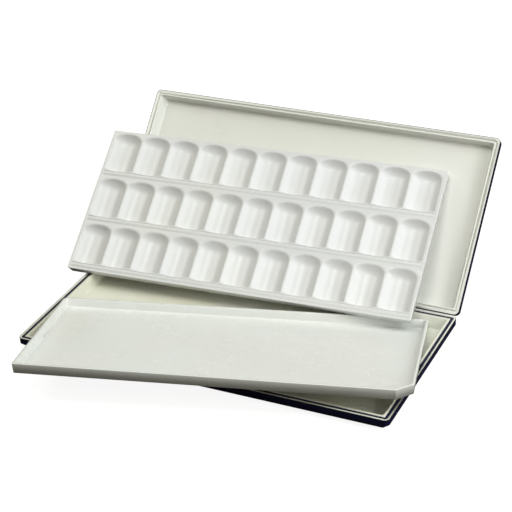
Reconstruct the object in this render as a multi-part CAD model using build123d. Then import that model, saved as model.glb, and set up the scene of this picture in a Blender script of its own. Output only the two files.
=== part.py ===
from build123d import *
import math
import os

# Watercolour palette box, open, with its two loose trays set out as in use.
# Millimetres. +Z is up, +X runs along the hinge, the hinge is on the +Y side.
# The origin is the centre of the flat underside of the base.

# Outline shared by the base and the lid
BOX_WIDTH = 350.0
BOX_DEPTH = 165.0
CORNER_RADIUS = 4.5
LEAST_CORNER = 0.6

# Wall sizes of the dark outer shells
SHELL_WALL = 1.2
SHELL_FLOOR = 1.0
SHELL_LIP = 0.4
HINGE_SIDE_LIP = 0.15

# Base half
BASE_HEIGHT = 13.2
BASE_SKIRT = 5.6
BASE_BEVEL = 7.4
BASE_RIM = 6.9
BASE_CAVITY_DEPTH = 11.3
BASE_END_DRAFT = 2.0
BASE_SIDE_DRAFT = 2.0

# Lid half
LID_HEIGHT = 11.9
LID_SKIRT = 5.4
LID_BEVEL = 3.6
LID_RIM = 5.2
LID_CAVITY_DEPTH = 10.0
LID_END_DRAFT = 3.2
LID_SIDE_DRAFT = 0.8

# White liners inside both halves
LINER_WALL = 1.1
LINER_FIT = 0.1
FLANGE_THICKNESS = 1.2
RIM_BLOCK_DEPTH = 2.9
OPENING_RADIUS = 2.5
FLOOR_FILLET = 1.8
RIDGE_CHAMFER = 0.35

# Sealing groove and gasket in the base rim
GROOVE_INSET = 1.9
GROOVE_WIDTH = 2.8
GROOVE_DEPTH = 1.9
GASKET_SIDE_GAP = 0.05
GASKET_HEIGHT = 1.85
GASKET_CHAMFER = 0.3

# Narrow groove round the lid rim
LID_GROOVE_INSET = 2.9
LID_GROOVE_WIDTH = 1.0
LID_GROOVE_DEPTH = 1.45

# Hinges
HINGE_END_MARGIN = 57.0
HINGE_SET_BACK = 0.8
RIM_GAP = 0.3
BARREL_RADIUS = 1.9
BARREL_CLEARANCE = 0.3
BASE_KNUCKLE_LENGTH = 7.0
LID_KNUCKLE_LENGTH = 10.0
KNUCKLE_GAP = 0.3
PIN_RADIUS = 0.75
PIN_CLEARANCE = 0.03
PIN_CHAMFER = 0.2
PIN_END_SINK = 0.5
BORE_OVERRUN = 1.0
KNUCKLE_ROOT = 0.3
KNUCKLE_WEB_REACH = 1.5
KNUCKLE_WEB_DROP = 6.0
STOP_REACH = 5.0
STOP_GAP = 0.3
LID_OPEN_ANGLE = 134.2

# Tray with the paint wells
WELL_TRAY_SIDE_ROOM = 7.75
WELL_TRAY_DEPTH = 149.2
WELL_TRAY_HEIGHT = 8.6
WELL_TRAY_DRAFT = 0.8
WELL_TRAY_RADIUS = 1.3
WELL_COLUMNS = 11
WELL_ROWS = 3
ROW_SIDE_MARGIN = 3.2
ROW_REAR_MARGIN = 2.5
ROW_PITCH = 49.3
ROW_DEPTH = 45.8
ROW_RECESS = 0.5
ROW_RADIUS = 3.0
ROW_DRAFT = 0.4
WELL_LENGTH = 41.0
WELL_DEPTH = 7.5
DIVIDER_WIDTH = 1.0
WELL_TOP_SLOPE = 66.0
WELL_SIDE_SHARE = 0.31
WELL_REAR_RUN = 9.0
WELL_FRONT_RUN = 1.8
WELL_FRONT_CUT = 1.0
WELL_REAR_RADIUS = 8.0
WELL_FLOOR_RADIUS = 4.0
WELL_CORNER_CHORDS = 3
WELL_STEPS = 4
UNDER_WALL = 1.2
UNDER_SLANT = 5.0
UNDER_GROOVE_DEPTH = 5.0
UNDER_GROOVE_WIDTH = 12.0
FOOT_END_MARGIN = 77.25
FOOT_RADIUS = 1.4
FOOT_HEIGHT = 1.3
FOOT_INSET = 2.4

# Open mixing tray
MIX_TRAY_SIDE_ROOM = 9.0
MIX_TRAY_DEPTH = 148.0
MIX_TRAY_HEIGHT = 8.8
MIX_TRAY_DRAFT = 0.8
MIX_TRAY_FLOOR = 1.0
MIX_TRAY_LIP = 2.5
MIX_TRAY_BASIN_DRAFT = 1.0
MIX_TRAY_REAR_RADIUS = 5.0
MIX_TRAY_LEAST_RADIUS = 1.0
MIX_TRAY_FRONT_RADIUS = 1.2
MIX_TRAY_CHAMFER = 13.5
MIX_TRAY_FLOOR_FILLET = 1.4
TRAY_EDGE_CHAMFER = 0.3

# Where the loose trays lie, from the middle of the base's rim plane. A tray's swing
# is how far its right end lies behind its left end, and its drop is how far below.
WELL_TRAY_PLACE = (-28.38, 101.69, 49.53)
WELL_TRAY_SWING = 23.275
WELL_TRAY_TILT = 34.92
WELL_TRAY_DROP = 0.759
MIX_TRAY_PLACE = (11.27, -40.66, 13.70)
MIX_TRAY_SWING = 88.22
MIX_TRAY_TILT = -9.80
MIX_TRAY_DROP = 5.968

# Worked out from the sizes above
HINGE_Y = BOX_DEPTH / 2 + HINGE_SET_BACK
HINGE_Z = BASE_HEIGHT + RIM_GAP / 2
HINGE_SPREAD = BOX_WIDTH - 2 * HINGE_END_MARGIN
KNUCKLE_PITCH = (BASE_KNUCKLE_LENGTH + LID_KNUCKLE_LENGTH) / 2 + KNUCKLE_GAP
HINGE_LENGTH = 2 * (KNUCKLE_PITCH + BASE_KNUCKLE_LENGTH / 2)
WELL_TRAY_WIDTH = BOX_WIDTH - 2 * WELL_TRAY_SIDE_ROOM
MIX_TRAY_WIDTH = BOX_WIDTH - 2 * MIX_TRAY_SIDE_ROOM
WELL_TRAY_YAW = math.degrees(math.asin(WELL_TRAY_SWING / WELL_TRAY_WIDTH))
MIX_TRAY_YAW = math.degrees(math.asin(MIX_TRAY_SWING / MIX_TRAY_WIDTH))
WELL_TRAY_ROLL = math.degrees(math.asin(WELL_TRAY_DROP / WELL_TRAY_WIDTH))
MIX_TRAY_ROLL = math.degrees(math.asin(MIX_TRAY_DROP / MIX_TRAY_WIDTH))
FOOT_SPREAD = WELL_TRAY_WIDTH - 2 * FOOT_END_MARGIN
WELL_PITCH = (WELL_TRAY_WIDTH - 2 * ROW_SIDE_MARGIN + DIVIDER_WIDTH) / WELL_COLUMNS
WELL_WIDTH = WELL_PITCH - DIVIDER_WIDTH
WELL_SIDE_RUN = WELL_WIDTH * WELL_SIDE_SHARE


def outline(width, depth, radius, inset, z):
    """A rounded rectangle, drawn in from the full outline by the inset."""
    corner = max(radius - inset, LEAST_CORNER)
    return Pos(0, 0, z) * RectangleRounded(width - 2 * inset, depth - 2 * inset, corner)


def box_outline(inset, z):
    """The outline of the base and the lid, drawn in by the inset."""
    return outline(BOX_WIDTH, BOX_DEPTH, CORNER_RADIUS, inset, z)


def flange_outline(z, hinge_side):
    """The outline of a liner's flange, which reaches further out on the hinge side."""
    reach = SHELL_LIP - HINGE_SIDE_LIP
    width = BOX_WIDTH - 2 * SHELL_LIP
    depth = BOX_DEPTH - 2 * SHELL_LIP + reach
    return Pos(0, hinge_side * reach / 2, 0) * outline(width, depth, CORNER_RADIUS - SHELL_LIP, 0, z)


def drafted(low, high):
    """A solid with flat sloping sides between two outlines."""
    return loft([low.face(), high.face()], ruled=True)


def dish(height, skirt, bevel, inset, lift):
    """A flat bottomed solid with a bevel below an upright skirt."""
    shoulder = height - skirt + lift
    bottom = drafted(box_outline(bevel + inset, lift), box_outline(inset, shoulder))
    return bottom + extrude(box_outline(inset, shoulder), height - shoulder)


def half_shell(height, skirt, bevel, hinge_side):
    """The dark outer shell of one half, standing on its flat face, rim upwards."""
    shell = dish(height, skirt, bevel, 0, 0) - dish(height, skirt, bevel, SHELL_WALL, SHELL_FLOOR)
    return shell - extrude(flange_outline(height - FLANGE_THICKNESS, hinge_side), FLANGE_THICKNESS)


def tub_outline(rim, end_draft, side_draft, z):
    """An outline inside the rim, drawn in by its own amount at the ends and at the sides."""
    width = BOX_WIDTH - 2 * (rim + end_draft)
    depth = BOX_DEPTH - 2 * (rim + side_draft)
    return outline(width, depth, OPENING_RADIUS, 0, z)


def opening(height, rim, cavity_depth, end_draft, side_draft):
    """The hollow of one half: a rounded floor edge, sloping sides and a chamfered mouth."""
    share = RIDGE_CHAMFER / cavity_depth
    low = tub_outline(rim, end_draft, side_draft, height - cavity_depth)
    neck = tub_outline(rim, end_draft * share, side_draft * share, height - RIDGE_CHAMFER)
    mouth = tub_outline(rim - RIDGE_CHAMFER, 0, 0, height)
    hollow = drafted(low, neck)
    hollow = fillet(hollow.faces().sort_by(Axis.Z)[0].edges(), FLOOR_FILLET)
    return hollow + drafted(neck, mouth)


def half_liner(height, rim, cavity_depth, end_draft, side_draft, hinge_side):
    """The white liner of one half: flange, rim block and tub in one moulding."""
    floor_z = height - cavity_depth
    floor_thickness = floor_z - SHELL_FLOOR
    outside = rim - LINER_WALL
    tub_low = tub_outline(outside + floor_thickness, end_draft, side_draft, SHELL_FLOOR)
    tub_mid = tub_outline(outside, end_draft, side_draft, floor_z)
    liner = drafted(tub_low, tub_mid) + drafted(tub_mid, tub_outline(outside, 0, 0, height))
    block = extrude(box_outline(SHELL_WALL + LINER_FIT, height - RIM_BLOCK_DEPTH), RIM_BLOCK_DEPTH)
    flange = extrude(flange_outline(height - FLANGE_THICKNESS, hinge_side), FLANGE_THICKNESS)
    return liner + block + flange - opening(height, rim, cavity_depth, end_draft, side_draft)


def ring(inset, width, z, height):
    """A flat band that follows the box outline."""
    outer = extrude(box_outline(inset, z), height)
    inner = extrude(box_outline(inset + width, z), height)
    return outer - inner


def hinge_places():
    """The middle of each hinge along the hinge line."""
    return (-HINGE_SPREAD / 2, HINGE_SPREAD / 2)


def knuckle_places(middle, on_base):
    """Middle and length of each knuckle of one hinge, on the base or on the lid."""
    if on_base:
        return [(middle - KNUCKLE_PITCH, BASE_KNUCKLE_LENGTH), (middle + KNUCKLE_PITCH, BASE_KNUCKLE_LENGTH)]
    return [(middle, LID_KNUCKLE_LENGTH)]


def along_hinge(sketch, middle, length):
    """Extrudes a sketch drawn about the hinge axis to a length along the hinge."""
    solid = extrude(Plane.YZ * sketch, length / 2, both=True)
    return Pos(middle, HINGE_Y, HINGE_Z) * solid


def barrel_cut(middle, length):
    """The room that a knuckle needs in the half that turns past it."""
    return along_hinge(Circle(BARREL_RADIUS + BARREL_CLEARANCE), middle, length + 2 * KNUCKLE_GAP)


def pin_bore(middle):
    """The bore for one hinge pin."""
    return along_hinge(Circle(PIN_RADIUS + PIN_CLEARANCE), middle, HINGE_LENGTH + 2 * BORE_OVERRUN)


def base_knuckle(middle, length):
    """A knuckle on the base, with the sloping stop that the open lid leans on."""
    turn = math.radians(LID_OPEN_ANGLE)
    ramp = (math.sin(turn), math.cos(turn))
    lift = HINGE_SET_BACK - STOP_GAP
    top = (-math.cos(turn) * lift, math.sin(turn) * lift)
    tip = (top[0] + ramp[0] * STOP_REACH, top[1] + ramp[1] * STOP_REACH)
    root = -HINGE_SET_BACK - KNUCKLE_ROOT
    foot = (root, tip[1] - STOP_REACH)
    web = Polygon((root, -RIM_GAP / 2), top, tip, foot, align=None)
    return along_hinge(Circle(BARREL_RADIUS) + web, middle, length)


def lid_knuckle(middle, length):
    """A knuckle on the lid, in the closed position, with its small gusset."""
    root = -HINGE_SET_BACK - KNUCKLE_ROOT
    top = RIM_GAP / 2
    web = Polygon((root, top), (KNUCKLE_WEB_REACH, top), (root, KNUCKLE_WEB_DROP), align=None)
    return along_hinge(Circle(BARREL_RADIUS) + web, middle, length)


def make_base_shell():
    """Dark outer shell of the base with its hinge knuckles and stops."""
    shell = half_shell(BASE_HEIGHT, BASE_SKIRT, BASE_BEVEL, 1)
    for middle in hinge_places():
        for place, length in knuckle_places(middle, False):
            shell = shell - barrel_cut(place, length)
        for place, length in knuckle_places(middle, True):
            shell = shell + base_knuckle(place, length)
        shell = shell - pin_bore(middle)
    return shell


def make_base_liner():
    """White liner of the base, with the gasket groove in its rim."""
    liner = half_liner(BASE_HEIGHT, BASE_RIM, BASE_CAVITY_DEPTH, BASE_END_DRAFT, BASE_SIDE_DRAFT, 1)
    liner = liner - ring(GROOVE_INSET, GROOVE_WIDTH, BASE_HEIGHT - GROOVE_DEPTH, GROOVE_DEPTH)
    for middle in hinge_places():
        liner = liner - barrel_cut(middle, HINGE_LENGTH)
    return liner


def make_rim_gasket():
    """Dark rubber seal that lies in the groove of the base."""
    gasket = ring(
        GROOVE_INSET + GASKET_SIDE_GAP,
        GROOVE_WIDTH - 2 * GASKET_SIDE_GAP,
        BASE_HEIGHT - GROOVE_DEPTH,
        GASKET_HEIGHT,
    )
    return chamfer(gasket.faces().sort_by(Axis.Z)[-1].edges(), GASKET_CHAMFER)


def make_hinge_pin(middle):
    """Steel pin through the knuckles of one hinge."""
    pin = along_hinge(Circle(PIN_RADIUS), middle, HINGE_LENGTH - 2 * PIN_END_SINK)
    return chamfer(pin.edges().filter_by(GeomType.CIRCLE), PIN_CHAMFER)


def closed_lid_place():
    """Turns a half that stands rim upwards over onto the base."""
    return Pos(0, 0, BASE_HEIGHT + RIM_GAP + LID_HEIGHT) * Rot(X=180)


def open_lid(solid):
    """Turns a closed lid piece about the hinge axis to the open stop."""
    to_axis = Pos(0, HINGE_Y, HINGE_Z)
    return to_axis * Rot(X=-LID_OPEN_ANGLE) * to_axis.inverse() * solid


def make_lid_shell():
    """Dark outer shell of the lid with its hinge knuckles."""
    shell = closed_lid_place() * half_shell(LID_HEIGHT, LID_SKIRT, LID_BEVEL, -1)
    for middle in hinge_places():
        for place, length in knuckle_places(middle, True):
            shell = shell - barrel_cut(place, length)
        for place, length in knuckle_places(middle, False):
            shell = shell + lid_knuckle(place, length)
        shell = shell - pin_bore(middle)
    return open_lid(shell)


def make_lid_liner():
    """White liner of the lid, with the narrow groove round its rim."""
    liner = half_liner(LID_HEIGHT, LID_RIM, LID_CAVITY_DEPTH, LID_END_DRAFT, LID_SIDE_DRAFT, -1)
    liner = liner - ring(LID_GROOVE_INSET, LID_GROOVE_WIDTH, LID_HEIGHT - LID_GROOVE_DEPTH, LID_GROOVE_DEPTH)
    liner = closed_lid_place() * liner
    for middle in hinge_places():
        liner = liner - barrel_cut(middle, HINGE_LENGTH)
    return open_lid(liner)


def well_outline(step):
    """One level of a paint well, steep at the top and curving in to the flat floor."""
    steepest = math.radians(WELL_TOP_SLOPE)
    slope = steepest * (1 - step / WELL_STEPS)
    inward = 1 - math.sin(slope) / math.sin(steepest)
    sink = (math.cos(slope) - math.cos(steepest)) / (1 - math.cos(steepest))
    side = WELL_WIDTH / 2 - WELL_SIDE_RUN * inward
    rear = WELL_LENGTH / 2 - WELL_REAR_RUN * inward
    front = WELL_FRONT_RUN * inward - WELL_LENGTH / 2
    radius = WELL_REAR_RADIUS + (WELL_FLOOR_RADIUS - WELL_REAR_RADIUS) * sink
    right = [(side - WELL_FRONT_CUT, front), (side, front + WELL_FRONT_CUT)]
    for chord in range(WELL_CORNER_CHORDS + 1):
        turn = math.radians(90 * chord / WELL_CORNER_CHORDS)
        x = side - radius + radius * math.cos(turn)
        y = rear - radius + radius * math.sin(turn)
        right.append((x, y))
    left = [(-x, y) for x, y in reversed(right)]
    depth = ROW_RECESS + (WELL_DEPTH - ROW_RECESS) * sink
    return Pos(0, 0, -depth) * Polygon(*right, *left, align=None)


def paint_well():
    """The hollow of one paint well, its top at the row's recessed level."""
    levels = [well_outline(step).face() for step in range(WELL_STEPS, -1, -1)]
    return loft(levels, ruled=True)


def row_middles():
    """Front to back place of the middle of each row's recess."""
    rear = WELL_TRAY_DEPTH / 2 - ROW_REAR_MARGIN - ROW_DEPTH / 2
    return [rear - ROW_PITCH * row for row in range(WELL_ROWS)]


def column_middles():
    """Left to right place of the middle of each column of wells."""
    first = -WELL_PITCH * (WELL_COLUMNS - 1) / 2
    return [first + WELL_PITCH * column for column in range(WELL_COLUMNS)]


def under_groove():
    """The groove below one divider, between two neighbouring wells."""
    length = WELL_LENGTH - WELL_REAR_RUN - WELL_REAR_RADIUS
    wedge = Polygon(
        (-UNDER_GROOVE_WIDTH / 2, -WELL_TRAY_HEIGHT),
        (UNDER_GROOVE_WIDTH / 2, -WELL_TRAY_HEIGHT),
        (0, UNDER_GROOVE_DEPTH - WELL_TRAY_HEIGHT),
        align=None,
    )
    return Pos(0, -WELL_REAR_RUN / 2, 0) * extrude(Plane.XZ * wedge, length / 2, both=True)


def under_channel():
    """The channel below the bar in front of a row, from the front edge of its wells."""
    bar = ROW_PITCH - WELL_LENGTH
    top = -ROW_RECESS - UNDER_WALL
    section = Polygon(
        (-UNDER_WALL, -WELL_TRAY_HEIGHT),
        (-UNDER_WALL, top),
        (UNDER_WALL - bar, top),
        (UNDER_WALL - bar - UNDER_SLANT, -WELL_TRAY_HEIGHT),
        align=None,
    )
    length = WELL_TRAY_WIDTH - 2 * (ROW_SIDE_MARGIN + WELL_SIDE_RUN)
    return extrude(Plane.YZ * section, length / 2, both=True)


def tray_blank(width, depth, height, draft, radius):
    """The outer block of a tray, its top at zero and its sides sloping in below."""
    low = outline(width, depth, radius + draft, draft, -height)
    high = outline(width, depth, radius, 0, 0)
    return drafted(low, high)


def make_well_tray():
    """White tray with three rows of eleven paint wells."""
    tray = tray_blank(WELL_TRAY_WIDTH, WELL_TRAY_DEPTH, WELL_TRAY_HEIGHT, WELL_TRAY_DRAFT, WELL_TRAY_RADIUS)
    tray = chamfer(tray.faces().sort_by(Axis.Z)[-1].edges(), TRAY_EDGE_CHAMFER)
    row_width = WELL_TRAY_WIDTH - 2 * ROW_SIDE_MARGIN
    recess = drafted(
        outline(row_width, ROW_DEPTH, ROW_RADIUS, ROW_DRAFT, -ROW_RECESS),
        outline(row_width, ROW_DEPTH, ROW_RADIUS, 0, 0),
    )
    well = paint_well()
    groove = under_groove()
    channel = under_channel()
    cuts = []
    for middle in row_middles():
        cuts.append(Pos(0, middle, 0) * recess)
        well_y = middle + (ROW_DEPTH - WELL_LENGTH) / 2
        for column in column_middles():
            cuts.append(Pos(column, well_y, 0) * well)
        for column in column_middles()[1:]:
            cuts.append(Pos(column - WELL_PITCH / 2, well_y, 0) * groove)
    for middle in row_middles()[:-1]:
        cuts.append(Pos(0, middle + ROW_DEPTH / 2 - WELL_LENGTH, 0) * channel)
    tray = tray - cuts
    for side in (-1, 1):
        for end in (-1, 1):
            x = side * FOOT_SPREAD / 2
            y = end * (WELL_TRAY_DEPTH / 2 - FOOT_INSET)
            foot = Cylinder(FOOT_RADIUS, FOOT_HEIGHT, align=(Align.CENTER, Align.CENTER, Align.MAX))
            tray = tray + Pos(x, y, -WELL_TRAY_HEIGHT) * foot
    return well_tray_place() * tray


def well_tray_place():
    """Where the well tray leans, on the mixing tray and the lid."""
    x, y, z = WELL_TRAY_PLACE
    return Pos(x, y, z + BASE_HEIGHT) * Rot(Z=WELL_TRAY_YAW) * Rot(X=WELL_TRAY_TILT) * Rot(Y=WELL_TRAY_ROLL)


def mix_outline(inset, z):
    """Outline of the mixing tray: round rear corners, one front corner cut off."""
    half_width = MIX_TRAY_WIDTH / 2 - inset
    half_depth = MIX_TRAY_DEPTH / 2 - inset
    cut = MIX_TRAY_CHAMFER - inset * (2 - math.sqrt(2))
    plan = Polygon(
        (-half_width, -half_depth),
        (half_width - cut, -half_depth),
        (half_width, -half_depth + cut),
        (half_width, half_depth),
        (-half_width, half_depth),
        align=None,
    )
    rear_radius = max(MIX_TRAY_REAR_RADIUS - inset, MIX_TRAY_LEAST_RADIUS)
    plan = fillet(plan.vertices().sort_by(Axis.Y)[-2:], rear_radius)
    return Pos(0, 0, z) * fillet(plan.vertices().sort_by(Axis.Y)[:3], MIX_TRAY_FRONT_RADIUS)


def make_mixing_tray():
    """White tray with one large flat basin."""
    foot = mix_outline(MIX_TRAY_DRAFT, -MIX_TRAY_HEIGHT)
    shoulder = mix_outline(0, -TRAY_EDGE_CHAMFER)
    tray = drafted(foot, shoulder) + drafted(shoulder, mix_outline(TRAY_EDGE_CHAMFER, 0))
    floor = mix_outline(MIX_TRAY_LIP + MIX_TRAY_BASIN_DRAFT, MIX_TRAY_FLOOR - MIX_TRAY_HEIGHT)
    neck = mix_outline(MIX_TRAY_LIP, -TRAY_EDGE_CHAMFER)
    basin = drafted(floor, neck)
    basin = fillet(basin.faces().sort_by(Axis.Z)[0].edges(), MIX_TRAY_FLOOR_FILLET)
    tray = tray - basin - drafted(neck, mix_outline(MIX_TRAY_LIP - TRAY_EDGE_CHAMFER, 0))
    x, y, z = MIX_TRAY_PLACE
    place = Pos(x, y, z + BASE_HEIGHT) * Rot(Z=MIX_TRAY_YAW) * Rot(X=MIX_TRAY_TILT) * Rot(Y=MIX_TRAY_ROLL)
    return place * tray


def make_parts():
    """Every piece of the palette box by name."""
    left, right = hinge_places()
    return {
        "base_shell": make_base_shell(),
        "base_liner": make_base_liner(),
        "rim_gasket": make_rim_gasket(),
        "hinge_pin_left": make_hinge_pin(left),
        "hinge_pin_right": make_hinge_pin(right),
        "lid_shell": make_lid_shell(),
        "lid_liner": make_lid_liner(),
        "well_tray": make_well_tray(),
        "mixing_tray": make_mixing_tray(),
    }


os.makedirs("parts", exist_ok=True)
for name, solid in make_parts().items():
    export_step(solid, f"parts/{name}.step")
    print(name, round(solid.volume, 1))
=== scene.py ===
"""Finishes, light and camera for an open watercolour palette box.

The pieces come from the CAD model, in metres, and keep their places. Each
operator below gives one kind of piece its finish. The liners and the trays are
smoothly shaded copies, and the well tray gets a finer top. The last operator
sets the stage.
"""

import math

import bmesh
import bpy
from bpy.props import FloatProperty, FloatVectorProperty, PointerProperty
from bpy.types import Operator, Panel, PropertyGroup
from mathutils import Euler, Matrix, Vector


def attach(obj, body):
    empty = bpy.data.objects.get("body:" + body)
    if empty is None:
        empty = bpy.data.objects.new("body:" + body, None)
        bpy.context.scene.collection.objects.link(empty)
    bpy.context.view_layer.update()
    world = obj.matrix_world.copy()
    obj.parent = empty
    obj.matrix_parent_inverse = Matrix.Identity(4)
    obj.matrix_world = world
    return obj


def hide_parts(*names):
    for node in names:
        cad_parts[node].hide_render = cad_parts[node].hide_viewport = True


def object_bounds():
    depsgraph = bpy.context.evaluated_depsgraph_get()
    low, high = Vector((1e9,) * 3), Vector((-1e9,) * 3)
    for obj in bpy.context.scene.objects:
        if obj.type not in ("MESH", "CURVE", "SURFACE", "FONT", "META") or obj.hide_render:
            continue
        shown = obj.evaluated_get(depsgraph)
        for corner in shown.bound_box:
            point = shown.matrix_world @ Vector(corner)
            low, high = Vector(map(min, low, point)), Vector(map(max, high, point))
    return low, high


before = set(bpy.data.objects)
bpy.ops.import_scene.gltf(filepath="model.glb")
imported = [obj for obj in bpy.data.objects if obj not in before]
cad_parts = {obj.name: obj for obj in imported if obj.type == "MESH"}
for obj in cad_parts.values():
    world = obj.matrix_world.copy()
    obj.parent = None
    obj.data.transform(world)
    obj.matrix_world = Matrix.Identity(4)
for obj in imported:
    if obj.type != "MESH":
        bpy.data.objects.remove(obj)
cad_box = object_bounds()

# Points nearer than this are one point, and edges sharper than this stay sharp
MERGE_DISTANCE = 0.000002
SHARP_ANGLE = 36

# The well tray's outline and place, as in the CAD model, in metres and degrees.
# The swing and the drop are how far its right end lies behind and below its left end.
TRAY_WIDTH = 0.3345
TRAY_DEPTH = 0.1492
TRAY_EDGE = 0.0003
TRAY_MIDDLE = (-0.02838, 0.10169, 0.06273)
TRAY_SWING = 0.023275
TRAY_DROP = 0.000759
TRAY_TILT = 34.92

# Its wells, in the tray's own frame, from its middle. The rear is the back edge of the first row.
WELL_COLUMNS = 11
WELL_ROWS = 3
WELL_PITCH = 0.029918
WELL_WIDTH = 0.0289
WELL_REAR = 0.0718
WELL_LENGTH = 0.0407
ROW_PITCH = 0.0493
ROW_MARGIN = 0.001

# Exponents of the wells' rounded outline, across and along: 2 is an ellipse, more is squarer
WELL_CURVE = 2.2
RAMP_CURVE = 2.6

# Gutters in front of each row: how far ahead of the wells, and how wide. They fade out at the ends.
GUTTERS = ((0.0010, 0.0006), (0.0052, 0.0014))
GUTTER_END = 0.0015

# The fine grid of the tray's top. Its lines are pulled towards the first gutter, except near the rim.
GRID_COLUMNS = 330
GRID_ROWS = 230
GRID_MARGIN = 3 * TRAY_EDGE
GRID_PULL = 0.004
GRID_CROWDING = 0.012

# A face that leans up this much is on the CAD tray's top
TOP_LEAN = 0.9

# The share by which the strip between the grid and the rim may miss its true area
STRIP_ROOM = 0.01

# The floor: its half width, its own light to the camera, and how strongly it shows shadows
FLOOR_REACH = 6
FLOOR_GLOW = 0.90
FLOOR_SHADE = 0.30

# Each lamp: its name, its setting, its place, its width and its colour. All look at one point.
LAMP_TARGET = (0, 0.02, 0.04)
LAMPS = (
    ("top_lamp", "top_power", (1.0, 0.05, 1.15), 0.9, (0.95, 1.0, 1.0)),
    ("key_lamp", "key_power", (1.25, -0.30, 0.55), 0.5, (1.0, 1.0, 0.94)),
    ("front_lamp", "front_power", (0.05, -0.45, 1.45), 0.6, (1.0, 1.0, 0.96)),
    ("left_lamp", "left_power", (-0.9, 0.0, 1.1), 0.6, (1.0, 1.0, 0.86)),
    ("spark_lamp", "spark_power", (0.75, -0.85, 1.10), 0.08, (1.0, 1.0, 1.0)),
)

SENSOR_WIDTH_MM = 36
MM_PER_METRE = 1000

bl_info = {
    "name": "Watercolour palette box",
    "version": (1, 0, 0),
    "blender": (4, 5, 0),
    "location": "View3D > Sidebar > Palette",
    "description": "Plastic finishes, light and camera for a palette box with two trays",
    "category": "Material",
}


def colour_property(name, description, default):
    """A colour that the user can change."""
    return FloatVectorProperty(
        name=name, description=description, default=default, size=4, min=0, max=1, subtype="COLOR"
    )


def factor_property(name, description, default):
    """A number from 0 to 1 that the user can change."""
    return FloatProperty(name=name, description=description, default=default, min=0, max=1, subtype="FACTOR")


def power_property(name, description, default):
    """The power of a lamp that the user can change."""
    return FloatProperty(name=name, description=description, default=default, min=0, unit="POWER")


def length_property(name, description, default):
    """A length in metres that the user can change."""
    return FloatProperty(
        name=name, description=description, default=default, min=0, unit="LENGTH", subtype="DISTANCE", precision=5
    )


class NavyFinish(PropertyGroup):
    """Dark outer shells."""

    colour: colour_property("Colour", "Colour of the dark shells", (0.0035, 0.0045, 0.034, 1))
    worn_colour: colour_property("Worn colour", "Paler tint where hands rub the shells", (0.008, 0.011, 0.055, 1))
    roughness: factor_property("Roughness", "How matt the shells are", 0.42)
    gloss: factor_property("Gloss", "How much light the skin of the plastic throws back", 0.25)
    grain: length_property("Grain", "Size of the moulded leather-like grain", 0.0009)
    grain_depth: length_property("Grain depth", "Depth of the moulded grain", 0.00003)


class LinerFinish(PropertyGroup):
    """White liners of the base and the lid."""

    base_colour: colour_property("Base colour", "Colour of the base liner", (0.86, 0.87, 0.79, 1))
    base_aged: colour_property("Base patches", "Slightly yellower patches on the base liner", (0.83, 0.83, 0.70, 1))
    lid_colour: colour_property("Lid colour", "Colour of the lid liner", (0.87, 0.875, 0.84, 1))
    lid_aged: colour_property("Lid patches", "Slightly greener patches on the lid liner", (0.85, 0.87, 0.82, 1))
    roughness: factor_property("Roughness", "How matt the liners are", 0.3)
    scuff_depth: length_property("Scuff depth", "Depth of the fine scuffs on flat areas", 0.000012)


class GasketFinish(PropertyGroup):
    """Rubber seal in the base rim."""

    colour: colour_property("Colour", "Colour of the rubber seal", (0.004, 0.009, 0.040, 1))
    dust_colour: colour_property("Dust colour", "Thin bloom on the rubber", (0.010, 0.018, 0.070, 1))
    roughness: factor_property("Roughness", "How matt the rubber is", 0.5)


class PinFinish(PropertyGroup):
    """Steel hinge pins."""

    colour: colour_property("Colour", "Colour of the steel", (0.56, 0.57, 0.58, 1))
    roughness: factor_property("Roughness", "How matt the steel is", 0.28)


class WellTrayFinish(PropertyGroup):
    """Tray with the paint wells."""

    colour: colour_property("Colour", "Colour of the well tray", (0.78, 0.79, 0.79, 1))
    shade_colour: colour_property("Second colour", "Cooler clouds in the plastic", (0.76, 0.77, 0.79, 1))
    roughness: factor_property("Roughness", "How matt the well tray is", 0.34)
    depth: length_property("Depth", "Depth of a well", 0.0062)
    ramp: length_property("Ramp", "Length of the slope at the back of a well", 0.0105)
    front_run: length_property("Front run", "Length of the steep wall at the front of a well", 0.0022)
    gutter: length_property("Gutter", "Depth of the gutters in front of a row", 0.0007)
    roundness: factor_property("Roundness", "How soft the edges of the wells are", 0.12)


class MixingTrayFinish(PropertyGroup):
    """Flat mixing tray."""

    colour: colour_property("Colour", "Colour of the mixing tray", (0.84, 0.87, 0.86, 1))
    shade_colour: colour_property("Second colour", "Warmer clouds in the plastic", (0.84, 0.85, 0.83, 1))
    roughness: factor_property("Roughness", "How matt the mixing tray is", 0.26)


class StageSettings(PropertyGroup):
    """Floor, lamps, surroundings and camera."""

    floor_colour: colour_property("Floor colour", "Colour that the floor throws back", (0.10, 0.095, 0.085, 1))
    world_colour: colour_property("Sky colour", "Colour of the soft light from all round", (1.0, 0.88, 0.62, 1))
    world_strength: FloatProperty(name="Sky strength", description="Soft light from all round", default=0.10, min=0)
    top_power: power_property("Top power", "Lamp high on the right", 8.8)
    key_power: power_property("Key power", "Lamp low on the right", 6)
    front_power: power_property("Front power", "Lamp high in front", 6.5)
    left_power: power_property("Left power", "Lamp on the left", 4.3)
    spark_power: power_property("Spark power", "Small lamp for gloss", 0.5)
    camera_place: FloatVectorProperty(
        name="Camera place",
        description="Where the camera stands",
        default=(0.5578, -1.0199, 0.7530),
        subtype="TRANSLATION",
        unit="LENGTH",
        precision=4,
    )
    camera_turn: FloatVectorProperty(
        name="Camera turn",
        description="Which way the camera looks",
        default=(math.radians(60.014), math.radians(3.466), math.radians(25.614)),
        subtype="EULER",
        unit="ROTATION",
    )
    focal_length: FloatProperty(
        name="Focal length", description="Lens of the camera", default=0.11027, unit="CAMERA", min=0.01, precision=5
    )


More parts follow.
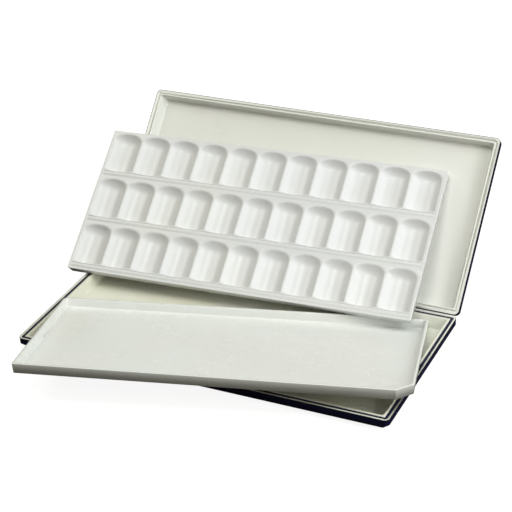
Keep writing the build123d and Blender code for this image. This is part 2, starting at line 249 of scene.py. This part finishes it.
class PaletteSettings(PropertyGroup):
    """Everything that a user would change."""

    navy: PointerProperty(type=NavyFinish, name="Shells", description="Finish of the dark shells")
    liner: PointerProperty(type=LinerFinish, name="Liners", description="Finish of the white liners")
    gasket: PointerProperty(type=GasketFinish, name="Seal", description="Finish of the rubber seal")
    pin: PointerProperty(type=PinFinish, name="Pins", description="Finish of the hinge pins")
    well_tray: PointerProperty(type=WellTrayFinish, name="Well tray", description="Finish of the well tray")
    mixing_tray: PointerProperty(type=MixingTrayFinish, name="Mixing tray", description="Finish of the mixing tray")
    stage: PointerProperty(type=StageSettings, name="Stage", description="Floor, light and camera")


class Value:
    """One output of a node, which can be used in sums."""

    def __init__(self, shading, socket):
        self.shading = shading
        self.socket = socket

    def sum(self, operation, first, second):
        """Joins two values or numbers by a maths node."""
        return self.shading.node("ShaderNodeMath", {"operation": operation}, {0: first, 1: second})

    def __add__(self, other):
        return self.sum("ADD", self, other)

    def __radd__(self, other):
        return self.sum("ADD", other, self)

    def __sub__(self, other):
        return self.sum("SUBTRACT", self, other)

    def __rsub__(self, other):
        return self.sum("SUBTRACT", other, self)

    def __mul__(self, other):
        return self.sum("MULTIPLY", self, other)

    def __rmul__(self, other):
        return self.sum("MULTIPLY", other, self)


class Shading:
    """The nodes of a material or of the world, added one by one."""

    def __init__(self, owner):
        owner.use_nodes = True
        self.tree = owner.node_tree
        self.tree.nodes.clear()

    def node(self, kind, settings=None, inputs=None, output=0):
        """Adds a node: its type, its settings, then the values or links of its sockets."""
        made = self.tree.nodes.new(kind)
        for name, value in (settings or {}).items():
            setattr(made, name, value)
        for key, value in (inputs or {}).items():
            if isinstance(value, Value):
                self.tree.links.new(value.socket, made.inputs[key])
            else:
                made.inputs[key].default_value = value
        return Value(self, made.outputs[output]) if made.outputs else made


class Finish(Shading):
    """One material, with the patterns that the plastics share."""

    def __init__(self, name):
        self.material = bpy.data.materials.new(name)
        super().__init__(self.material)
        self.place = self.node("ShaderNodeTexCoord", output="Object")

    def noise(self, size, detail=2.0, stretch=(1, 1, 1), roughness=0.5):
        """Soft clouds about one size across, from 0 to 1."""
        spread = self.node("ShaderNodeMapping", {"vector_type": "POINT"}, {"Vector": self.place, "Scale": stretch})
        return self.node(
            "ShaderNodeTexNoise",
            inputs={"Vector": spread, "Scale": 1 / size, "Detail": detail, "Roughness": roughness},
            output="Fac",
        )

    def step(self, value, low, high):
        """Turns a value into a mask that climbs from 0 at low to 1 at high."""
        return self.node(
            "ShaderNodeMapRange",
            {"interpolation_type": "SMOOTHSTEP"},
            {"Value": value, "From Min": low, "From Max": high, "To Min": 0.0, "To Max": 1.0},
        )

    def blend(self, mask, first, second):
        """Mixes two colours by a mask."""
        return self.node("ShaderNodeMix", {"data_type": "RGBA"}, {0: mask, 6: first, 7: second}, output=2)

    def bump(self, height, depth, below=None):
        """Raises the surface by a height from 0 to 1 times a depth in metres."""
        inputs = {"Height": height, "Distance": depth, "Strength": 1.0}
        if below is not None:
            inputs["Normal"] = below
        return self.node("ShaderNodeBump", inputs=inputs)

    def surface(self, inputs):
        """Ends the material with one shader."""
        shader = self.node("ShaderNodeBsdfPrincipled", inputs=inputs)
        self.node("ShaderNodeOutputMaterial", inputs={"Surface": shader})
        return self.material


def smooth_copy(node, body):
    """Stands a merged copy of a CAD piece in its place, shaded so that its curves show no facets."""
    shape = bmesh.new()
    shape.from_mesh(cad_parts[node].data)
    bmesh.ops.remove_doubles(shape, verts=shape.verts, dist=MERGE_DISTANCE)
    return finished_piece(shape, node, body)


def finished_piece(shape, node, body):
    """Makes a piece of a shape and stands it in the place of a CAD node."""
    mesh = bpy.data.meshes.new(node + "_moulded")
    shape.to_mesh(mesh)
    shape.free()
    mesh.materials.clear()
    mesh.shade_smooth()
    mesh.set_sharp_from_angle(angle=math.radians(SHARP_ANGLE))
    piece = bpy.data.objects.new(node + "_moulded", mesh)
    bpy.context.scene.collection.objects.link(piece)
    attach(piece, body)
    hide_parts(node)
    return piece


def tray_place():
    """Where the well tray leans."""
    yaw = math.asin(TRAY_SWING / TRAY_WIDTH)
    roll = math.asin(TRAY_DROP / TRAY_WIDTH)
    turn = Matrix.Rotation(yaw, 4, "Z") @ Matrix.Rotation(math.radians(TRAY_TILT), 4, "X")
    return Matrix.Translation(TRAY_MIDDLE) @ turn @ Matrix.Rotation(roll, 4, "Y")


def tray_sink(settings, x, y):
    """How far a point of the well tray's top lies below its rim."""
    last = (WELL_COLUMNS - 1) // 2
    column = max(-last, min(last, round(x / WELL_PITCH)))
    across = abs(x - column * WELL_PITCH) / (WELL_WIDTH / 2)
    row = max(0, min(WELL_ROWS - 1, int((WELL_REAR + ROW_MARGIN - y) / ROW_PITCH)))
    behind = WELL_REAR - row * ROW_PITCH - y
    ahead = WELL_LENGTH - behind
    along = max(0, 1 - behind / settings.ramp, 1 - ahead / settings.front_run)
    inside = 1 - across**WELL_CURVE - along**RAMP_CURVE
    hollow = settings.depth * (inside + math.hypot(inside, settings.roundness)) / 2
    gutter = sum(math.exp(-(((ahead + place) / width) ** 2)) for place, width in GUTTERS)
    side = TRAY_WIDTH / 2 - GUTTER_END - abs(x)
    return hollow + settings.gutter * gutter * max(0, min(1, side / GUTTER_END))


def at_side(vert):
    """Whether a point is on the tray's outer side, below its chamfered rim."""
    beyond = max(abs(vert.co.x) - TRAY_WIDTH / 2, abs(vert.co.y) - TRAY_DEPTH / 2)
    return beyond > -2 * TRAY_EDGE and vert.co.z < -TRAY_EDGE / 2


def top_faces(shape):
    """Every face inside the tray's rim, found by walking from the largest one without crossing the rim."""
    start = max((face for face in shape.faces if face.normal.z > TOP_LEAN), key=lambda face: face.calc_area())
    found, ahead = {start}, [start]
    while ahead:
        near = {other for edge in ahead.pop().edges for other in edge.link_faces} - found
        near = {face for face in near if not any(at_side(vert) for vert in face.verts)}
        found |= near
        ahead += near
    return [face for face in shape.faces if face in found]


def check_tray(shape, strip, strip_area):
    """Stops if the dressed tray isn't closed, or if the strip round its grid went wrong."""
    if not all(edge.is_manifold for edge in shape.edges):
        raise RuntimeError("The top of the well tray does not close")
    if abs(sum(face.calc_area() for face in strip) / strip_area - 1) > STRIP_ROOM:
        raise RuntimeError("The strip round the top of the well tray has the wrong area")


def well_tray_piece(settings):
    """The well tray with smooth trough-shaped wells, on the CAD tray's own sides and underside."""
    place = tray_place()
    shape = bmesh.new()
    shape.from_mesh(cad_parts["well_tray"].data)
    bmesh.ops.remove_doubles(shape, verts=shape.verts, dist=MERGE_DISTANCE)
    bmesh.ops.transform(shape, matrix=place.inverted(), verts=shape.verts)
    shape.normal_update()
    top = top_faces(shape)
    grid_width, grid_depth = TRAY_WIDTH - 2 * GRID_MARGIN, TRAY_DEPTH - 2 * GRID_MARGIN
    strip_area = sum(face.calc_area() * face.normal.z for face in top) - grid_width * grid_depth
    bmesh.ops.delete(shape, geom=top, context="FACES")
    grid = bmesh.ops.create_grid(shape, x_segments=GRID_COLUMNS, y_segments=GRID_ROWS, size=0.5)["verts"]
    bmesh.ops.scale(shape, vec=(grid_width, grid_depth, 1), verts=grid)
    for vert in grid:
        if not vert.is_boundary:
            to_front = (vert.co.y - WELL_REAR + WELL_LENGTH + GUTTERS[0][0]) / ROW_PITCH
            free = min(1, (grid_depth / 2 - abs(vert.co.y)) / GRID_CROWDING)
            vert.co.y -= free * GRID_PULL * math.sin(2 * math.pi * to_front)
            vert.co.z = -tray_sink(settings, vert.co.x, vert.co.y)
    border = [edge for edge in shape.edges if edge.is_boundary]
    filled = bmesh.ops.triangle_fill(shape, edges=border, use_beauty=True, normal=(0, 0, 1))["geom"]
    strip = [part for part in filled if isinstance(part, bmesh.types.BMFace)]
    bmesh.ops.recalc_face_normals(shape, faces=shape.faces)
    check_tray(shape, strip, strip_area)
    bmesh.ops.transform(shape, matrix=place, verts=shape.verts)
    return finished_piece(shape, "well_tray", "well_tray")


def dress(names, material):
    """Gives CAD pieces a finish, through their own material slots."""
    for name in names:
        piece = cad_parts.get(name)
        if piece is None:
            raise RuntimeError("The model has no piece called " + name)
        for number in range(len(piece.material_slots)):
            piece.material_slots[number].material = material


def moulded_plastic(name, first, second, roughness, sheen_spread, cloud_size, wave_depth, grain_depth):
    """White injection moulded plastic: soft clouds, faint waves and a fine grain."""
    finish = Finish(name)
    clouds = finish.noise(cloud_size, detail=3)
    fine = finish.noise(0.0011, detail=2)
    specks = finish.step(finish.noise(0.0034, detail=1), 0.70, 0.78)
    colour = finish.blend(finish.step(clouds, 0.35, 0.65), first, second)
    colour = finish.blend(specks * 0.10, colour, (first[0] * 0.8, first[1] * 0.8, first[2] * 0.76, 1))
    handling = finish.noise(0.03, detail=4, roughness=0.6)
    gloss = roughness + (handling - 0.5) * sheen_spread + (fine - 0.5) * 0.06
    waves = finish.bump(finish.noise(0.022, detail=1), wave_depth)
    grain = finish.bump(finish.noise(0.0007, detail=3), grain_depth, waves)
    return finish, colour, gloss, grain


class PALETTE_OT_shells(Operator):
    """Gives the two dark outer shells their moulded navy finish"""

    bl_idname = "palette.shells"
    bl_label = "Dark shells"

    def execute(self, context):
        settings = context.scene.palette_box.navy
        finish = Finish("navy_shell_plastic")
        rubbed = finish.step(finish.noise(0.018, detail=5, roughness=0.65), 0.52, 0.72)
        pebbles = finish.node(
            "ShaderNodeTexVoronoi",
            {"feature": "SMOOTH_F1"},
            {"Vector": finish.place, "Scale": 1 / settings.grain, "Smoothness": 0.6},
            output="Distance",
        )
        scratches = finish.step(finish.noise(0.004, detail=2, stretch=(0.12, 1, 1)), 0.66, 0.70)
        colour = finish.blend(rubbed * 0.6 + scratches * 0.2, tuple(settings.colour), tuple(settings.worn_colour))
        gloss = settings.roughness + rubbed * 0.09 + scratches * 0.12 + (pebbles - 0.4) * 0.05
        grain = finish.bump(pebbles, settings.grain_depth)
        waves = finish.bump(finish.noise(0.03, detail=1), 0.00012, grain)
        material = finish.surface(
            {"Base Color": colour, "Roughness": gloss, "Normal": waves, "Specular IOR Level": settings.gloss}
        )
        dress(("base_shell", "lid_shell"), material)
        return {"FINISHED"}


class PALETTE_OT_liners(Operator):
    """Gives the white liners of the base and the lid their satin finish"""

    bl_idname = "palette.liners"
    bl_label = "White liners"

    def execute(self, context):
        settings = context.scene.palette_box.liner
        for body, colour, aged in (
            ("base", settings.base_colour, settings.base_aged),
            ("lid", settings.lid_colour, settings.lid_aged),
        ):
            finish, colour, gloss, grain = moulded_plastic(
                body + "_liner_plastic",
                tuple(colour),
                tuple(aged),
                settings.roughness,
                sheen_spread=0.16,
                cloud_size=0.09,
                wave_depth=0.00012,
                grain_depth=0.000006,
            )
            scuffs = finish.step(finish.noise(0.0032, detail=3, stretch=(0.07, 1, 1)), 0.64, 0.70)
            gloss = gloss + scuffs * 0.12
            scuffed = finish.bump(1 - scuffs, settings.scuff_depth, grain)
            material = finish.surface({"Base Color": colour, "Roughness": gloss, "Normal": scuffed, "IOR": 1.5})
            smooth_copy(body + "_liner", body).data.materials.append(material)
        return {"FINISHED"}


class PALETTE_OT_seal(Operator):
    """Gives the rubber seal in the base rim its soft finish"""

    bl_idname = "palette.seal"
    bl_label = "Rubber seal"

    def execute(self, context):
        settings = context.scene.palette_box.gasket
        finish = Finish("rim_gasket_rubber")
        bloom = finish.step(finish.noise(0.006, detail=4), 0.45, 0.70)
        pores = finish.noise(0.0005, detail=2)
        colour = finish.blend(bloom * 0.7, tuple(settings.colour), tuple(settings.dust_colour))
        gloss = settings.roughness + bloom * 0.12 + (pores - 0.5) * 0.1
        skin = finish.bump(pores, 0.00002)
        material = finish.surface({"Base Color": colour, "Roughness": gloss, "Normal": skin, "IOR": 1.52})
        dress(("rim_gasket",), material)
        return {"FINISHED"}


class PALETTE_OT_pins(Operator):
    """Gives the hinge pins their drawn steel finish"""

    bl_idname = "palette.pins"
    bl_label = "Hinge pins"

    def execute(self, context):
        settings = context.scene.palette_box.pin
        finish = Finish("hinge_pin_steel")
        drawn = finish.noise(0.0004, detail=3, stretch=(0.05, 1, 1))
        smudge = finish.noise(0.004, detail=3)
        darker = tuple(part * 0.7 for part in settings.colour[:3]) + (1,)
        colour = finish.blend(smudge, tuple(settings.colour), darker)
        gloss = settings.roughness + (drawn - 0.5) * 0.2
        lines = finish.bump(drawn, 0.000008)
        material = finish.surface({"Base Color": colour, "Roughness": gloss, "Normal": lines, "Metallic": 1.0})
        dress(("hinge_pin_left", "hinge_pin_right"), material)
        return {"FINISHED"}


class PALETTE_OT_well_tray(Operator):
    """Gives the tray with the paint wells its smooth wells and its satin white finish"""

    bl_idname = "palette.well_tray"
    bl_label = "Well tray"

    def execute(self, context):
        settings = context.scene.palette_box.well_tray
        finish, colour, gloss, grain = moulded_plastic(
            "well_tray_plastic",
            tuple(settings.colour),
            tuple(settings.shade_colour),
            settings.roughness,
            sheen_spread=0.12,
            cloud_size=0.12,
            wave_depth=0.00010,
            grain_depth=0.000004,
        )
        material = finish.surface(
            {"Base Color": colour, "Roughness": gloss, "Normal": grain, "IOR": 1.5, "Coat Weight": 0.15}
        )
        well_tray_piece(settings).data.materials.append(material)
        return {"FINISHED"}


class PALETTE_OT_mixing_tray(Operator):
    """Gives the flat mixing tray its white finish with faint wipe marks"""

    bl_idname = "palette.mixing_tray"
    bl_label = "Mixing tray"

    def execute(self, context):
        settings = context.scene.palette_box.mixing_tray
        finish, colour, gloss, grain = moulded_plastic(
            "mixing_tray_plastic",
            tuple(settings.colour),
            tuple(settings.shade_colour),
            settings.roughness,
            sheen_spread=0.14,
            cloud_size=0.07,
            wave_depth=0.00014,
            grain_depth=0.000005,
        )
        wiped = finish.step(finish.noise(0.02, detail=3, stretch=(0.5, 1, 1)), 0.45, 0.8)
        gloss = gloss + wiped * 0.02
        material = finish.surface({"Base Color": colour, "Roughness": gloss, "Normal": grain, "IOR": 1.5})
        smooth_copy("mixing_tray", "mixing_tray").data.materials.append(material)
        return {"FINISHED"}


def floor_material(settings):
    """Plain floor: white to the camera, with the shadow kept, and its own colour for other light."""
    finish = Finish("studio_floor")
    seen = finish.node("ShaderNodeLightPath", output="Is Camera Ray")
    plain = finish.node("ShaderNodeBsdfDiffuse", inputs={"Color": tuple(settings.floor_colour)})
    glow = finish.node("ShaderNodeEmission", inputs={"Color": (1, 1, 1, 1), "Strength": FLOOR_GLOW})
    matt = finish.node("ShaderNodeBsdfDiffuse", inputs={"Color": (FLOOR_SHADE, FLOOR_SHADE, FLOOR_SHADE, 1)})
    bright = finish.node("ShaderNodeAddShader", inputs={0: glow, 1: matt})
    mixed = finish.node("ShaderNodeMixShader", inputs={0: seen, 1: plain, 2: bright})
    finish.node("ShaderNodeOutputMaterial", inputs={"Surface": mixed})
    return finish.material


def add_floor(settings):
    """A large flat floor that the base stands on."""
    mesh = bpy.data.meshes.new("studio_floor")
    shape = bmesh.new()
    bmesh.ops.create_grid(shape, x_segments=1, y_segments=1, size=FLOOR_REACH)
    bmesh.ops.translate(shape, verts=shape.verts, vec=(0, 0, cad_box[0][2]))
    shape.to_mesh(mesh)
    shape.free()
    floor = bpy.data.objects.new("studio_floor", mesh)
    bpy.context.scene.collection.objects.link(floor)
    mesh.materials.append(floor_material(settings))


def add_lamp(name, power, place, width, colour):
    """A square soft lamp that looks at the box."""
    light = bpy.data.lights.new(name, "AREA")
    light.shape = "SQUARE"
    light.size = width
    light.energy = power
    light.color = colour
    lamp = bpy.data.objects.new(name, light)
    lamp.location = place
    lamp.rotation_euler = (Vector(LAMP_TARGET) - Vector(place)).to_track_quat("-Z", "Y").to_euler()
    bpy.context.scene.collection.objects.link(lamp)


def set_world(settings):
    """Soft even light from all round, which the camera sees as plain white."""
    world = bpy.data.worlds.new("studio_world")
    bpy.context.scene.world = world
    sky = Shading(world)
    seen = sky.node("ShaderNodeLightPath", output="Is Camera Ray")
    light = {"Color": tuple(settings.world_colour), "Strength": settings.world_strength}
    soft = sky.node("ShaderNodeBackground", inputs=light)
    white = sky.node("ShaderNodeBackground", inputs={"Color": (1, 1, 1, 1)})
    mixed = sky.node("ShaderNodeMixShader", inputs={0: seen, 1: soft, 2: white})
    sky.node("ShaderNodeOutputWorld", inputs={"Surface": mixed})


def add_camera(settings):
    """The camera, where the photographer stood."""
    lens = bpy.data.cameras.new("photo_camera")
    lens.sensor_width = SENSOR_WIDTH_MM
    lens.lens = settings.focal_length * MM_PER_METRE
    camera = bpy.data.objects.new("photo_camera", lens)
    camera.location = settings.camera_place
    camera.rotation_euler = Euler(settings.camera_turn)
    bpy.context.scene.collection.objects.link(camera)
    bpy.context.scene.camera = camera


class PALETTE_OT_stage(Operator):
    """Adds the floor, the lamps, the surroundings and the camera"""

    bl_idname = "palette.stage"
    bl_label = "Stage"

    def execute(self, context):
        settings = context.scene.palette_box.stage
        context.scene.view_settings.view_transform = "Standard"
        set_world(settings)
        add_floor(settings)
        for name, power, place, width, colour in LAMPS:
            add_lamp(name, getattr(settings, power), place, width, colour)
        add_camera(settings)
        return {"FINISHED"}


class PALETTE_PT_panel(Panel):
    """Lists the pieces and their finishes in the sidebar"""

    bl_label = "Palette box"
    bl_idname = "PALETTE_PT_panel"
    bl_space_type = "VIEW_3D"
    bl_region_type = "UI"
    bl_category = "Palette"

    def draw(self, context):
        settings = context.scene.palette_box
        for operator, group in STEPS:
            box = self.layout.box()
            box.operator(operator)
            part = getattr(settings, group)
            for name in part.bl_rna.properties.keys():
                if name not in ("rna_type", "name"):
                    box.prop(part, name)


STEPS = (
    ("palette.shells", "navy"),
    ("palette.liners", "liner"),
    ("palette.seal", "gasket"),
    ("palette.pins", "pin"),
    ("palette.well_tray", "well_tray"),
    ("palette.mixing_tray", "mixing_tray"),
    ("palette.stage", "stage"),
)

CLASSES = (
    NavyFinish,
    LinerFinish,
    GasketFinish,
    PinFinish,
    WellTrayFinish,
    MixingTrayFinish,
    StageSettings,
    PaletteSettings,
    PALETTE_OT_shells,
    PALETTE_OT_liners,
    PALETTE_OT_seal,
    PALETTE_OT_pins,
    PALETTE_OT_well_tray,
    PALETTE_OT_mixing_tray,
    PALETTE_OT_stage,
    PALETTE_PT_panel,
)


def register():
    """Adds the settings, the operators and the panel."""
    for made in CLASSES:
        bpy.utils.register_class(made)
    bpy.types.Scene.palette_box = PointerProperty(type=PaletteSettings)


def unregister():
    """Takes them away again."""
    del bpy.types.Scene.palette_box
    for made in reversed(CLASSES):
        bpy.utils.unregister_class(made)


def main():
    """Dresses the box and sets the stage."""
    register()
    bpy.ops.palette.shells()
    bpy.ops.palette.liners()
    bpy.ops.palette.seal()
    bpy.ops.palette.pins()
    bpy.ops.palette.well_tray()
    bpy.ops.palette.mixing_tray()
    bpy.ops.palette.stage()


if __name__ == "__main__":
    main()
